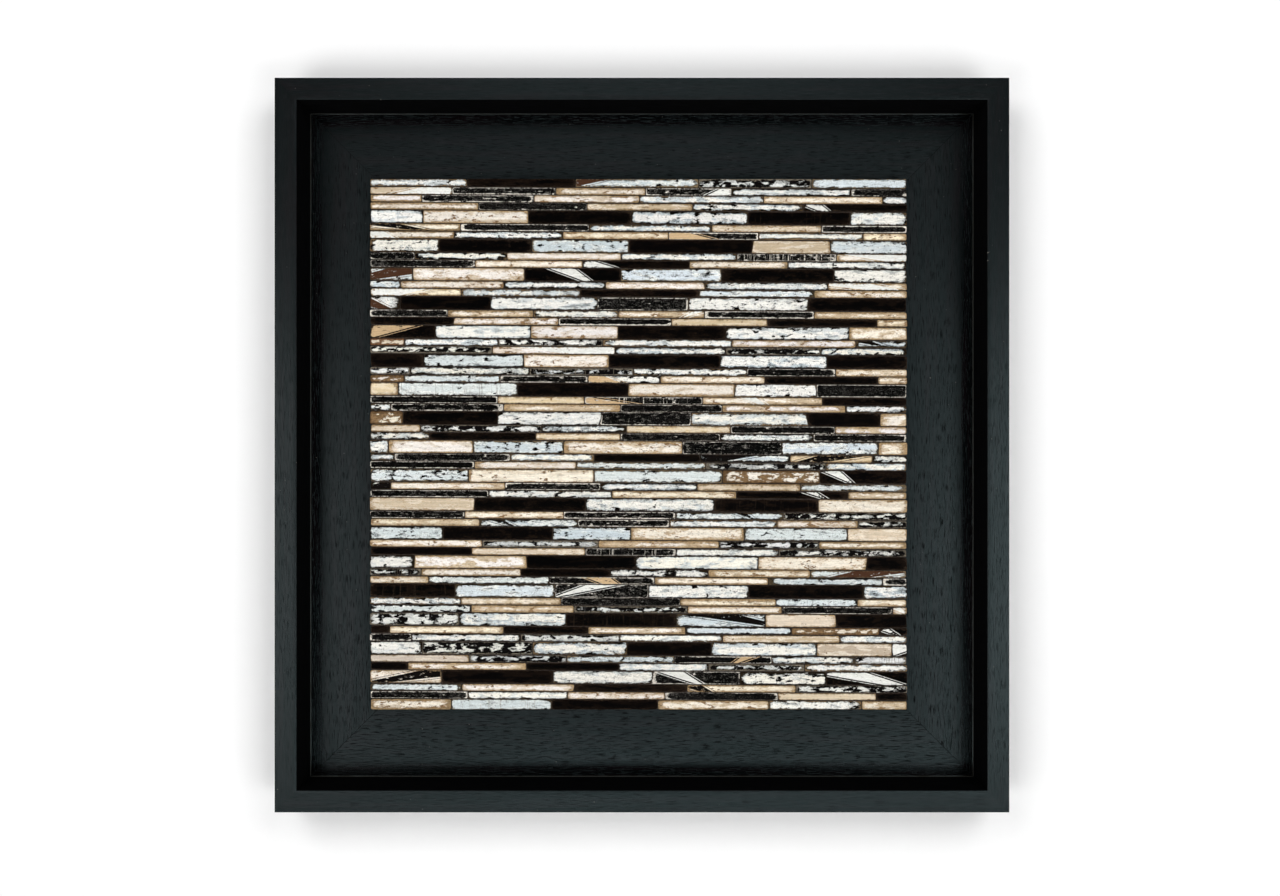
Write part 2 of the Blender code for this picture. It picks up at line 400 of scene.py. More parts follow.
KINDS = {
    # coat from, coat to, cloud, tint, under, rim: screen colours. level: wear through the coat, about
    # 0.35 for flecks, 0.5 for half and 0.6 for islands. bite and soft: width of the worn rim and of its
    # fading (mm). cloudy, tinted, nibble, ticks, cracks, specks: how much of each.
    "white": dict(coat=((240, 238, 230), (235, 232, 223)), cloud=(192, 203, 208), tint=(214, 202, 182),
                  under=(9, 7, 6), rim=(116, 96, 70), level=0.375, bite=0.34, soft=0.08, cloudy=0.8,
                  tinted=0.45, nibble=0.9, ticks=0.1, cracks=1.0, specks=0.8),
    "ice": dict(coat=((215, 222, 222), (196, 206, 209)), cloud=(238, 239, 233), tint=(156, 164, 167),
                under=(10, 8, 8), rim=(118, 102, 78), level=0.375, bite=0.36, soft=0.08, cloudy=0.9,
                tinted=0.6, nibble=0.9, ticks=0.15, cracks=0.9, specks=0.9),
    "cream": dict(coat=((243, 235, 222), (233, 225, 211)), cloud=(204, 185, 156), tint=(180, 152, 118),
                  under=(134, 106, 76), rim=(166, 140, 104), level=0.385, bite=0.65, soft=0.45, cloudy=1.0,
                  tinted=1.0, nibble=0.25, ticks=0.0, cracks=0.9, specks=0.4),
    "tan": dict(coat=((220, 203, 175), (192, 174, 147)), cloud=(236, 226, 209), tint=(170, 144, 110),
                under=(136, 108, 76), rim=(156, 130, 96), level=0.34, bite=0.55, soft=0.5, cloudy=0.8,
                tinted=0.8, nibble=0.1, ticks=0.0, cracks=0.3, specks=0.2),
    "black": dict(coat=((1, 1, 1), (3, 2, 2)), cloud=(20, 13, 8), tint=(42, 31, 22),
                  under=(22, 16, 12), rim=(44, 35, 27), level=0.36, bite=0.25, soft=0.2, cloudy=0.6,
                  tinted=0.35, nibble=0.0, ticks=0.2, cracks=0.0, specks=0.1),
    "rubbed": dict(coat=((1, 1, 1), (3, 3, 3)), cloud=(18, 15, 14), tint=(74, 69, 64),
                   under=(206, 200, 190), rim=(222, 215, 203), level=0.335, bite=0.46, soft=0.05, cloudy=0.3,
                   tinted=0.05, nibble=0.0, ticks=0.3, cracks=0.5, specks=0.15),
    "patched": dict(coat=((236, 235, 229), (214, 217, 215)), cloud=(150, 150, 147), tint=(54, 49, 45),
                    under=(10, 8, 8), rim=(120, 112, 98), level=0.49, bite=0.55, soft=0.12, cloudy=0.5,
                    tinted=0.7, nibble=0.5, ticks=0.3, cracks=0.8, specks=0.8),
    "islands": dict(coat=((242, 236, 222), (226, 214, 196)), cloud=(205, 188, 162), tint=(156, 132, 102),
                    under=(124, 99, 70), rim=(104, 80, 54), level=0.515, bite=0.9, soft=0.3, cloudy=0.4,
                    tinted=0.3, nibble=0.0, ticks=0.0, cracks=0.3, specks=0.5),
    "brown": dict(coat=((218, 208, 195), (196, 182, 165)), cloud=(172, 150, 130), tint=(146, 118, 96),
                  under=(118, 88, 64), rim=(112, 78, 52), level=0.47, bite=0.7, soft=0.3, cloudy=0.5,
                  tinted=0.5, nibble=0.0, ticks=0.0, cracks=0.3, specks=0.6),
}
print(len(KINDS), "kinds of paint")

# %% [markdown]
# ## Which kind comes next
#
# The kinds aren't equally common: more than half of the draws for a wide strip are white or black, and
# a thin strip is most often cream. Two alike beside each other would read as one long strip, so a kind
# as light or as dark as the one before is drawn again, with six tries in all. That leaves such pairs
# rare, but not gone.

# %% Shares of the kinds
WIDE_SHARES = {"white": 40, "ice": 16, "cream": 17, "tan": 6, "black": 24, "rubbed": 5, "patched": 2,
               "islands": 1.2, "brown": 1.4}
THIN_SHARES = {"white": 24, "ice": 10, "cream": 28, "tan": 6, "black": 12, "rubbed": 21, "patched": 7,
               "islands": 1.4, "brown": 1.4}
LIGHT = {"white", "ice"}
WARM = {"cream", "tan", "islands", "brown"}


def family(kind):
    """The broad tone of a kind of paint: light, warm or dark."""
    return "light" if kind in LIGHT else "warm" if kind in WARM else "dark"


def choose_kind(chance, wide, before):
    """A kind drawn by its share, and again if it is as light or dark as the strip before."""
    shares = WIDE_SHARES if wide else THIN_SHARES
    names = list(shares)
    weights = np.array([shares[n] for n in names], dtype=float)
    for _ in range(6):
        kind = names[int(chance.choice(len(names), p=weights / weights.sum()))]
        if before is None or family(kind) != family(before):
            break
    return kind


white_share = WIDE_SHARES["white"] / sum(WIDE_SHARES.values())
print("white drawn for", round(100 * white_share), "wide strips in a hundred")

# %% [markdown]
# ## Slashes
#
# About one strip in eight was sawn across a painted line of the old board, so a band of another
# colour runs over it as a slanted wedge with crisp edges, or a whole end has another colour. A band
# needs only the distance of each point from a slanted middle line, so that number is kept on the points
# and the finish draws the band from it. Drawing it with faces would need an edge along every band.

# %% Slashes
SLASH_SHARE = 0.13
NO_SLASH = 50.0          # a distance outside any slash (mm)
SLASH_COLOURS = {"dark": seen(12, 9, 8), "light": seen(228, 228, 222), "sand": seen(196, 168, 130),
                 "rust": seen(70, 46, 32)}
SLASH_CHOICE = {"light": ["dark", "dark", "sand", "rust"], "warm": ["light", "light", "dark"],
                "dark": ["sand", "light", "light"]}


def slash_of(kind, flat, length, chance):
    """A slash's colour, half width and each point's distance from its middle line, 0 on it.

    The distance past a slanted line is (a - place) * sin(angle) + b * cos(angle). The two sides of a
    slash have their own angles, so it is a wedge: the distance is the larger of those past its sides.
    """
    if chance.uniform() > SLASH_SHARE or kind == "patched":
        return seen(0, 0, 0), 0.0, np.full(len(flat), NO_SLASH)
    choice = SLASH_CHOICE[family(kind)]
    colour = SLASH_COLOURS[choice[int(chance.integers(len(choice)))]]
    angle = math.radians(float(chance.uniform(8, 42)) * (1 if chance.uniform() < 0.5 else -1))
    if chance.uniform() < 0.35:
        place = 0.5 * length * (1 if chance.uniform() < 0.5 else -1)
        half = float(chance.uniform(3.0, 9.0))
    else:
        place = float(chance.uniform(-0.4, 0.4)) * length
        half = float(chance.uniform(0.8, 3.8))
    upper, lower = [(flat[:, 0] - place) * math.sin(turn) + flat[:, 1] * math.cos(turn)
                    for turn in (angle, 0.55 * angle)]
    return colour, half, np.maximum(0, np.maximum(upper, -lower))


print("slashes on", round(100 * SLASH_SHARE), "strips in a hundred")

# %% [markdown]
# ## How one strip is worn
#
# Each strip draws its own wear by chance from one seeded list of numbers, so the panel comes out the
# same each time: how far it stands out, how round its corners and edges are, which of its ends and
# sides are more worn, and how much of its paint is left.

# %% Wear of one strip
def wear_of(kind, chance):
    """How one strip is worn. Lengths are in mm, and each value is drawn in turn."""
    w = SimpleNamespace()
    w.seed = float(chance.uniform(1, 60))
    w.face = STRIP_FRONT + float(chance.uniform(0.0, 0.45))
    w.ends = [1.0 if chance.uniform() < 0.6 else float(chance.uniform(0.22, 0.7)) for _ in range(2)]
    w.short = chance.uniform(0.0, 0.18, 2)
    w.corner = float(chance.uniform(0.7, 1.8))
    w.ease = float(chance.uniform(0.55, 0.95))
    w.drop = float(chance.uniform(0.40, 0.70))
    w.crown = float(chance.uniform(0.3, 1.0))
    w.level = KINDS[kind]["level"] + float(chance.normal(0, 0.022))
    w.sides = chance.uniform(0.5, 1.1, 2) * (1.5 if kind == "rubbed" else 1.0)
    return w


print("a strip's wear has", len(vars(wear_of("white", np.random.default_rng(0)))), "values")

# %% [markdown]
# ## The tones of one strip
#
# What the finish has to know about a strip is stored on all its points: six tones, each with an amount
# beside it, the distance from the slash, and a few more amounts. So one finish serves three hundred
# strips, and each of them still has its own blend of the kind's two coats, a little lighter or darker
# and warmer or cooler.

# %% One dressed strip
LIGHT_ON_WHITE = 1.08    # what the lamps below give a white surface, so colours come out as written


def dressed_strip(row, left, right, slants, kind, chance):
    """One strip's surface with the numbers that its finish reads."""
    k = KINDS[kind]
    w = wear_of(kind, chance)
    made = strip_surface(row, left, right, slants, w)
    blend = float(chance.uniform())
    shade = float(chance.uniform(0.97, 1.10)) / LIGHT_ON_WHITE
    hue = 1 + np.array([0.015, 0.0, -0.07]) * float(chance.normal(0, 1)) * (1.0 if kind in WARM else 0.3)
    coat = hue * (seen(*k["coat"][0]) * (1 - blend) + seen(*k["coat"][1]) * blend)
    bite = k["bite"] * float(chance.uniform(0.5, 1.6))
    cloudy = k["cloudy"] * float(chance.uniform(0.3, 1.2))
    cracks, specks, tinted = [k[n] * float(chance.uniform(0.1, 1.3)) for n in ("cracks", "specks", "tinted")]
    ticks = 3.0 * k["ticks"] if chance.uniform() < 0.12 else 0.0
    rim_shade = float(chance.choice([0.12, 0.4, 1.0])) if kind in LIGHT else float(chance.uniform(0.75, 1.1))
    line, half, distance = slash_of(kind, made["flat"], right - left, chance)
    whole = {
        "coat": [*(coat * shade), w.level],
        "under": [*(seen(*k["under"]) * shade), bite],
        "rim_coat": [*(seen(*k["rim"]) * shade * rim_shade), k["soft"]],
        "cloud": [*(seen(*k["cloud"]) * shade), cloudy],
        "tint": [*(seen(*k["tint"]) * shade), tinted],
        "line": [*(line * shade), half],
        "marks": [w.seed, ticks, cracks, specks],
        "nibble": k["nibble"] * float(chance.uniform(0.6, 1.1)),
        "broken": float(chance.uniform(0.5, 1.0)) if kind == "rubbed" else 0.0,
    }
    numbers = {key: np.broadcast_to(value, (len(distance), *np.shape(value))) for key, value in whole.items()}
    numbers.update(slash=distance, edge=made["edge"], rim=made["rim"], paint=made["paint"])
    return {**made, "numbers": numbers}


trial = dressed_strip(rows[0], 0.0, 80.0, (0.0, 0.0), "white", np.random.default_rng(0))
print("a strip 80 mm long has", len(trial["points"]), "points and", len(trial["numbers"]), "sets of numbers")

# %% [markdown]
# ## All the strips
#
# A row of strips is one piece, as in the solids, and takes the place of that row's solid. The slants of
# the joints are drawn first: most are nearly square, and one in ten was cut by eye. The last two rows
# are one solid, so they are one piece here too.

# %% Build the rows of strips
END_GAP = 0.22           # left open by each strip at a joint


def joined(parts):
    """Several surfaces as one: points stacked, and face numbers moved up by the points before them."""
    offsets = np.concatenate([[0], np.cumsum([len(p["points"]) for p in parts])[:-1]]).astype(int)
    points = np.concatenate([p["points"] for p in parts])
    quads = np.concatenate([p["quads"] + o for p, o in zip(parts, offsets)])
    caps = [p["cap"] + o for p, o in zip(parts, offsets)]
    flat = np.concatenate([p["flat"] for p in parts])
    numbers = {k: np.concatenate([p["numbers"][k] for p in parts]) for k in parts[0]["numbers"]}
    return points, quads, caps, flat, numbers


def row_strips(row, chance):
    """All strips of one row. The ends at a joint share a slant, and a small gap is left between them."""
    cuts = row["cuts"]
    slants = [float(np.radians(chance.normal(0, 1.6))) for _ in cuts]
    for k in range(1, len(cuts) - 1):
        if chance.uniform() < 0.10:
            slants[k] = math.radians(float(chance.uniform(-14, 14)))
    parts, kind = [], None
    for k in range(len(cuts) - 1):
        left = cuts[k] + (0.0 if k == 0 else END_GAP) + PANEL_X
        right = cuts[k + 1] - (0.0 if k == len(cuts) - 2 else END_GAP) + PANEL_X
        kind = choose_kind(chance, row["wide"], kind)
        parts.append(dressed_strip(row, left, right, (-slants[k], -slants[k + 1]), kind, chance))
    return parts


chance = np.random.default_rng(7)
row_pieces = []
triangles = 0
for k in range(len(rows) - 1):
    parts = row_strips(rows[k], chance)
    node = "strip_row_%02d" % (k + 1)
    name = "teak_row_%02d" % (k + 1)
    if k == len(rows) - 2:
        parts += row_strips(rows[k + 1], chance)
        node, name = "strip_rows_55_56", "teak_rows_55_56"
    piece = mesh_piece(name, *joined(parts))
    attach(piece, "root")
    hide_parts(node)
    row_pieces.append(piece)
    triangles += sum(len(p.vertices) - 2 for p in piece.data.polygons)
print(len(row_pieces), "pieces of strips,", triangles, "triangles")

# %% [markdown]
# ## Filler between the strips
#
# Dark filler lies in every joint, a little below the faces. One slab does it: its front is a grid
# with slow lumps, hidden under the strips everywhere except in the joints.

# %% Filler
FILLER_DEPTH = 1.25      # below the strips' faces


def slab(x_steps, z_steps, front, back):
    """A closed slab: front(x, z) gives the y of the front grid, and the back is flat."""
    x, z = np.meshgrid(x_steps, z_steps, indexing="ij")
    quads, cap, over = walled_grid(*x.shape, 1)
    points = np.stack([x, front(x, z), z], axis=-1).reshape(-1, 3)[over]
    points[x.size:, 1] = back
    return points, quads, [cap], points[:, [0, 2]]


def lumps(x, z):
    """The filler's front: y = the strips' face + depth + half a millimetre of slow noise."""
    return STRIP_FRONT + FILLER_DEPTH + 0.5 * (layered_noise(x / 9, z / 6, 3.0) - 0.5)


x_steps = PANEL_X + np.linspace(-1, 1, 113) * (BOARD_W / 2 - 0.8)
z_steps = PANEL_Z + np.linspace(-1, 1, 112) * (BOARD_H / 2 - 1.0)
filler = mesh_piece("joint_filler", *slab(x_steps, z_steps, lumps, STRIP_BACK), {})
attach(filler, "root")
print("filler", len(filler.data.polygons), "faces")

# %% [markdown]
# ## The board
#
# The strips are glued to plywood. Only its edge shows from the side and its back from behind, so the
# shape is simple: a rectangle of points whose edges are very slightly rounded by a profile.

# %% The board
def board_surface():
    """A profile (inset, y) carried round the board's outline, and closed front and back by a face."""
    back = [(0.5, BOARD_BACK), (0.15, BOARD_BACK - 0.15), (0.0, BOARD_BACK - 0.5)]
    edge = [(0.0, y) for y in np.linspace(BOARD_BACK - 0.5, BOARD_FRONT + 0.5, 7)[1:]]
    front = [(0.15, BOARD_FRONT + 0.15), (0.5, BOARD_FRONT)]
    profile = np.array(back + edge + front)
    side = np.linspace(-1, 1, 41)[:-1]
    u = np.concatenate([side, np.ones(40), -side, -np.ones(40)])
    v = np.concatenate([-np.ones(40), side, np.ones(40), -side])
    x = PANEL_X + u[:, None] * (BOARD_W / 2 - profile[:, 0])
    z = PANEL_Z + v[:, None] * (BOARD_H / 2 - profile[:, 0])
    points = np.stack([x, np.broadcast_to(profile[:, 1], x.shape), z], axis=-1).reshape(-1, 3)
    at = np.arange(x.size).reshape(x.shape)
    turn = np.roll(at, -1, axis=0)
    quads = np.stack([at[:, :-1], turn[:, :-1], turn[:, 1:], at[:, 1:]], axis=-1).reshape(-1, 4)
    return points, quads, [at[::-1, 0], at[:, -1]], points[:, [0, 2]]


board = mesh_piece("plywood_board", *board_surface(), {})
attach(board, "root")
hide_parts("backing_board")
print("board", [round(c, 4) for c in board.dimensions])

# %% [markdown]
# ## The frame's rails
#
# Each rail is one L-shaped moulding. Its section is a closed line of straight runs and small arcs: the
# two worn arrises of the front face, and the little hollow where the wall meets the base. The section
# is carried along the side and cut at 45 degrees, so a point that lies further in gets a shorter run:
# half length = half side - distance in. A few nicks are pressed into the arrises.

# %% The section of a rail
SIDE, DEPTH, FACE = 600.0, 54.0, 18.0     # the square's side, back to front, and the front face
BASE_T, BASE_W = 12.0, 72.0               # thickness of the base, and how far it runs in
ARRIS_R, FOOT_R, BACK_R = 0.55, 0.8, 0.3  # radii of the front arrises, the hollow and the back edges
BESIDE_FOOT = 0.6                         # a close point on each side of the hollow keeps its line thin


def arc(centre, radius, start, end, steps=6):
    """Points on part of a circle: centre + radius * (cos t, sin t)."""
    t = np.radians(np.linspace(start, end, steps + 1))
    return np.stack([centre[0] + radius * np.cos(t), centre[1] + radius * np.sin(t)], axis=-1)


def run(start, end, pitch):
    """Points of a straight run about one pitch apart, without its two ends."""
    start, end = np.array(start, float), np.array(end, float)
    count = max(int(np.linalg.norm(end - start) / pitch), 1)
    t = np.linspace(0, 1, count + 1)[1:-1, None]
    return start * (1 - t) + end * t


def rail_section():
    """The L: (distance in from the outer side, y), once round, starting at the outer back edge."""
    k, r, f = BACK_R, ARRIS_R, FOOT_R
    inner = FACE + BASE_W
    on_base = (FACE + f + BESIDE_FOOT, -BASE_T)
    on_wall = (FACE, -BASE_T - f - BESIDE_FOOT)
    return np.concatenate([
        arc((k, -k), k, 180, 90, 2),
        run((k, 0), (inner - k, 0), 12),
        arc((inner - k, -k), k, 90, 0, 2),
        run((inner, -k), (inner, -BASE_T + k), 6),
        arc((inner - k, -BASE_T + k), k, 0, -90, 2),
        run((inner - k, -BASE_T), on_base, 5),
        [on_base],
        arc((FACE + f, -BASE_T - f), f, 90, 180),
        [on_wall],
        run(on_wall, (FACE, -DEPTH + r), 5),
        arc((FACE - r, -DEPTH + r), r, 0, -90),
        run((FACE - r, -DEPTH), (r, -DEPTH), 3),
        arc((r, -DEPTH + r), r, -90, -180),
        run((0, -DEPTH + r), (0, -k), 8),
    ])


print("a rail's section has", len(rail_section()), "points")

# %% [markdown]
# ## Nicks in the arrises
#
# The frame has been knocked here and there. A nick is a small dent in one of the two front arrises, and
# it is made by pushing points back. So the section is set more closely there than along the rest of the
# rail, and also at the mitres, whose corners are eased.

# %% Nicks
def draw_nicks(chance):
    """Three nicks: place as a share of the half length, distance in of their arris, and size."""
    nicks = []
    for _ in range(3):
        place = float(chance.uniform(-0.92, 0.92))
        arris = float(chance.choice([0.0, FACE]))
        nicks.append((place, arris, float(chance.uniform(0.3, 0.8))))
    return nicks


def rail_steps(nicks):
    """Shares of the half length, from -1 to 1, where the section is set: closer at nicks and mitres."""
    mitre = 1 - np.array([0.12, 0.3, 0.8]) / (SIDE / 2)
    close = [place + np.linspace(-2.4, 2.4, 13) * size / (SIDE / 2) for place, _, size in nicks]
    u = np.unique(np.clip(np.concatenate([np.linspace(-1, 1, 201), mitre, -mitre] + close), -1, 1))
    return u[np.concatenate([[True], np.diff(u) > 2e-4])]


spots = rail_steps(draw_nicks(np.random.default_rng(0)))
print("a rail with three nicks repeats its section", len(spots), "times")

# %% [markdown]
# ## Four rails
#
# Each finish later needs to know where on the rail it is, so five numbers are kept for each point: how
# deep a nick is, how near the mitre is, whether it is on the front face, how much the base's shine is
# softened towards the board or sharpened towards the foot, and how near the foot of the wall is.

# %% The rails
SEAM_EASED, SEAM_WIDTH = 0.13, 0.12       # how far and how widely the mitre's corners are eased back
SHINE_TURNS = 36.0                        # the base's shine is softened further in, and sharpened nearer


def rail_surface(quarter, seed, chance):
    """The section carried along one side, then turned by quarter turns clockwise from the top.

    along = u * (half side - distance in), for u from -1 to 1. A nick pushes y back by
    0.45 * size * exp(-(distance from the nick / (0.7 * size))^2).
    """
    section = rail_section()
    nicks = draw_nicks(chance)
    reach = SIDE / 2 - section[:, 0]
    along = rail_steps(nicks)[:, None] * reach
    inward, y = np.broadcast_to(section[:, 0], along.shape), np.broadcast_to(section[:, 1], along.shape)
    seam = (reach - np.abs(along)) / math.sqrt(2)
    dent = np.zeros_like(along)
    for place, arris, size in nicks:
        near = (along - place * (SIDE / 2 - arris)) ** 2 + (inward - arris) ** 2 + (y + DEPTH) ** 2
        dent = dent + np.exp(-near / (size * 0.7) ** 2) * size
    y = y + 0.45 * dent * (y < -DEPTH + 3)
    on_base = np.abs(y + BASE_T) < 0.1
    on_face = (section[:, 1] < -BASE_T - 5) & (section[:, 0] > 1) & (section[:, 0] < FACE - 1)
    wander = 0.10 * (layered_noise(along / 60 + 11 * seed, section[None, :, 0] / 40, seed) - 0.5)
    y = y + np.abs(wander) * on_face + SEAM_EASED * np.exp(-(seam / SEAM_WIDTH) ** 2) * on_base

    verge = np.clip((inward - SHINE_TURNS) / 38, 0, 1) - 0.9 * np.clip((SHINE_TURNS - inward) / 16, 0, 1)
    # How near the hollow at the foot of the wall is: the stain paints a highlight along it.
    foot = np.exp(-((inward - FACE - 0.25) ** 2 + (y + BASE_T + 0.25) ** 2) / 0.5**2)
    numbers = {"nick": dent, "seam": seam, "front": y < -DEPTH + 1, "verge": verge * on_base, "foot": foot}
    numbers = {key: values.reshape(-1) for key, values in numbers.items()}
    round_about = np.concatenate([[0], np.cumsum(np.linalg.norm(np.diff(section, axis=0), axis=1))])
    flat = np.stack([along, np.broadcast_to(round_about, along.shape)], axis=-1) + 700.0 * quarter
    out = SIDE / 2 - inward
    for _ in range(quarter):
        along, out = out, -along
    points = np.stack([along, y, middle.z / MM + out], axis=-1).reshape(-1, 3)
    at = np.arange(y.size).reshape(y.shape)
    turn = np.roll(at, -1, axis=1)
    quads = np.stack([at[:-1], at[1:], turn[1:], turn[:-1]], axis=-1).reshape(-1, 4)
    return points, quads, [at[0], at[-1][::-1]], flat.reshape(-1, 2), numbers


def inner_wall():
    """Which faces round the section are the frame's inner wall, from the middle of each."""
    section = rail_section()
    heart = (section + np.roll(section, -1, axis=0)) / 2
    return (np.abs(heart[:, 0] - FACE) < 0.01) & (heart[:, 1] < -BASE_T)


rails = []
nick_chance = np.random.default_rng(21)
for quarter, side in enumerate(("top", "right", "bottom", "left")):
    rail = mesh_piece("rail_" + side, *rail_surface(quarter, 3.0 + quarter, nick_chance), sharp=30.0)
    wall_faces = np.tile(inner_wall(), (len(rail.data.polygons) - 2) // len(inner_wall()))
    matt = np.concatenate([wall_faces, [False, False]]).astype(np.int32)
    rail.data.polygons.foreach_set("material_index", matt)
    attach(rail, "root")
    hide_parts("frame_rail_" + side)
    rails.append(rail)
print("rails", [len(r.data.polygons) for r in rails], "faces")

# %% [markdown]
# ## Do the faces point outwards?
#
# A closed shape whose faces all point outwards has a positive volume when the signed volumes of its
# triangles are added up. It is quick to test, and a shape that fails is turned.

# %% Test the direction of the faces
def signed_volume(mesh):
    """Sum over triangles of a . (b x c) / 6."""
    mesh.calc_loop_triangles()
    points = np.empty(len(mesh.vertices) * 3)
    mesh.vertices.foreach_get("co", points)
    corners = np.empty(len(mesh.loop_triangles) * 3, dtype=np.int32)
    mesh.loop_triangles.foreach_get("vertices", corners)
    a, b, c = points.reshape(-1, 3)[corners.reshape(-1, 3)].transpose(1, 0, 2)
    return float(np.einsum("ij,ij->i", a, np.cross(b, c)).sum() / 6)


for piece in row_pieces + [filler, board] + rails:
    if signed_volume(piece.data) < 0:
        piece.data.flip_normals()
        print("turned", piece.name)
print("volume of the strips", round(sum(signed_volume(p.data) for p in row_pieces) * 1e6, 1), "cubic cm")

# %% [markdown]
# ## Short calls for finishes
#
# A finish is a graph of nodes. A small helper keeps each line readable: it adds a node, sets its
# values and hands back the socket that the next node reads.

# %% Node helper
def rgb(r, g, b):
    """A colour, as amounts of light, that covers fully."""
    return (r, g, b, 1.0)


class Graph:
    """A material's nodes, and short calls that add more of them."""

    def __init__(self, name):
        """A new material with its own shader."""
        self.material = bpy.data.materials.new(name)
        self.material.use_nodes = True
        self.tree = self.material.node_tree
        self.shader = self.tree.nodes["Principled BSDF"]

    def put(self, socket, value):
        """Links a socket, or sets a plain value."""
        if isinstance(value, bpy.types.NodeSocket):
            self.tree.links.new(value, socket)
        elif hasattr(socket.default_value, "__len__") and not hasattr(value, "__len__"):
            socket.default_value = [value] * len(socket.default_value)
        else:
            socket.default_value = value

    def node(self, kind, inputs, output=0, **settings):
        """A node with inputs by number or name, and settings by name."""
        made = self.tree.nodes.new(kind)
        for key, value in settings.items():
            setattr(made, key, value)
        for key, value in inputs.items():
            self.put(made.inputs[key], value)
        return made.outputs[output]

    def timber(self):
        """The map along and across the timber, in mm."""
        return self.node("ShaderNodeUVMap", {}, uv_map="timber")

    def number(self, name, output="Fac"):
        """A number kept on the points."""
        return self.node("ShaderNodeAttribute", {}, output, attribute_name=name)

    def pair(self, name):
        """A colour and the fourth number kept with it."""
        return self.number(name, "Color"), self.number(name, "Alpha")

    def parts(self, vector):
        """The three numbers of a vector or colour."""
        made = self.tree.nodes.new("ShaderNodeSeparateXYZ")
        self.put(made.inputs[0], vector)
        return made.outputs[0], made.outputs[1], made.outputs[2]


print("a graph has", len([n for n in vars(Graph) if not n.startswith("_")]), "calls")

# %% [markdown]
# ## Sums, products and soft steps
#
# Most of what a finish does with its fields is one of four things: a sum of noises with a share for
# each, a product, a soft step from one value to another, and a mix of two colours. Each has a call here,
# so that a layer of paint takes two or three lines.

# %% Arithmetic for finishes
class Finish(Graph):
    """A graph with arithmetic, noise and a last call that joins everything to the shader."""

    def math(self, what, a, b=0.0, c=0.0, clamp=False):
        """One sum, product or other operation on numbers."""
        return self.node("ShaderNodeMath", {0: a, 1: b, 2: c}, operation=what, use_clamp=clamp)

    def times(self, first, *others, clamp=False):
        """A product, kept within 0 to 1 if asked."""
        for k, other in enumerate(others):
            first = self.math("MULTIPLY", first, other, clamp=clamp and k == len(others) - 1)
        return first

    def less(self, a, b):
        """a - b."""
        return self.math("SUBTRACT", a, b)

    def plus(self, field, share, base=0.0, middle=0.0):
        """base + share * (field - middle)."""
        return self.math("MULTIPLY_ADD", self.less(field, middle) if middle else field, share, base)

    def total(self, *terms):
        """A sum of terms, each a field, its share, and its middle if that is taken off first."""
        out = 0.0
        for field, share, *middle in terms:
            out = self.plus(field, share, out, *middle)
        return out

    def away(self, a, b=0.0):
        """How far a is from b: abs(a - b)."""
        return self.math("ABSOLUTE", self.less(a, b))

    def step(self, value, low, high, start=0.0, end=1.0):
        """A soft step: start below low, end above high."""
        return self.node("ShaderNodeMapRange", {0: value, 1: low, 2: high, 3: start, 4: end},
                         interpolation_type="SMOOTHSTEP")

    def mix(self, share, a, b):
        """Colour a, or b where the share is 1."""
        return self.node("ShaderNodeMix", {0: share, 6: a, 7: b}, 2, data_type="RGBA")

    def shaded(self, colour, amount):
        """A colour times a number."""
        return self.node("ShaderNodeVectorMath", {0: colour, 3: amount}, operation="SCALE")

    def noise(self, place, x, y, detail, rough, z=0.0, shift=None, distort=0.0):
        """Noise over a place times (x, y, z), moved by a shift. Larger numbers give finer noise."""
        at = self.node("ShaderNodeVectorMath", {0: place, 1: (x, y, z)}, operation="MULTIPLY")
        if shift is not None:
            at = self.node("ShaderNodeVectorMath", {0: at, 1: shift}, operation="ADD")
        return self.node("ShaderNodeTexNoise", {"Vector": at, "Scale": 1.0, "Detail": detail,
                                                "Roughness": rough, "Distortion": distort})

    def done(self, colour, rough, height, depth, strength=1.0, shine=0.5):
        """Sets the finish's colour, roughness, shine and bumps, and hands back the material."""
        bump = self.node("ShaderNodeBump", {"Height": height, "Distance": depth, "Strength": strength})
        self.put(self.shader.inputs["Base Color"], colour)
        self.put(self.shader.inputs["Roughness"], rough)
        self.put(self.shader.inputs["Specular IOR Level"], shine)
        self.put(self.shader.inputs["Normal"], bump)
        return self.material


print("a finish has", len([n for n in vars(Finish) if not n.startswith("_")]), "more calls")

# %% [markdown]
# ## Numbers and noises of the paint
#
# One finish serves every strip, because the kinds differ only in numbers that each strip carries. They
# are read once here, together with nine noises. Each strip's own seed moves the noises, so no two strips
# are alike. Two of the fields wander: the ragged distance in from the rim, which gives every limit near
# the rim its wavy line, and the shade, which follows the grain.

# %% Numbers and noises of the paint
PAINT_NOISES = {
    # fineness along and across the timber (per mm), layers, roughness
    "patch": (0.20, 0.50, 6, 0.68),
    "wavy": (0.42, 0.60, 4, 0.62),
    "slow": (0.11, 0.16, 2, 0.5),
    "fleck": (1.2, 1.5, 3, 0.6),
    "fine": (0.42, 1.05, 4, 0.68),
    "streak": (0.055, 1.05, 4, 0.6),
    "cross": (0.9, 0.035, 3, 0.6),
    "cloud": (0.075, 0.24, 4, 0.62),
}


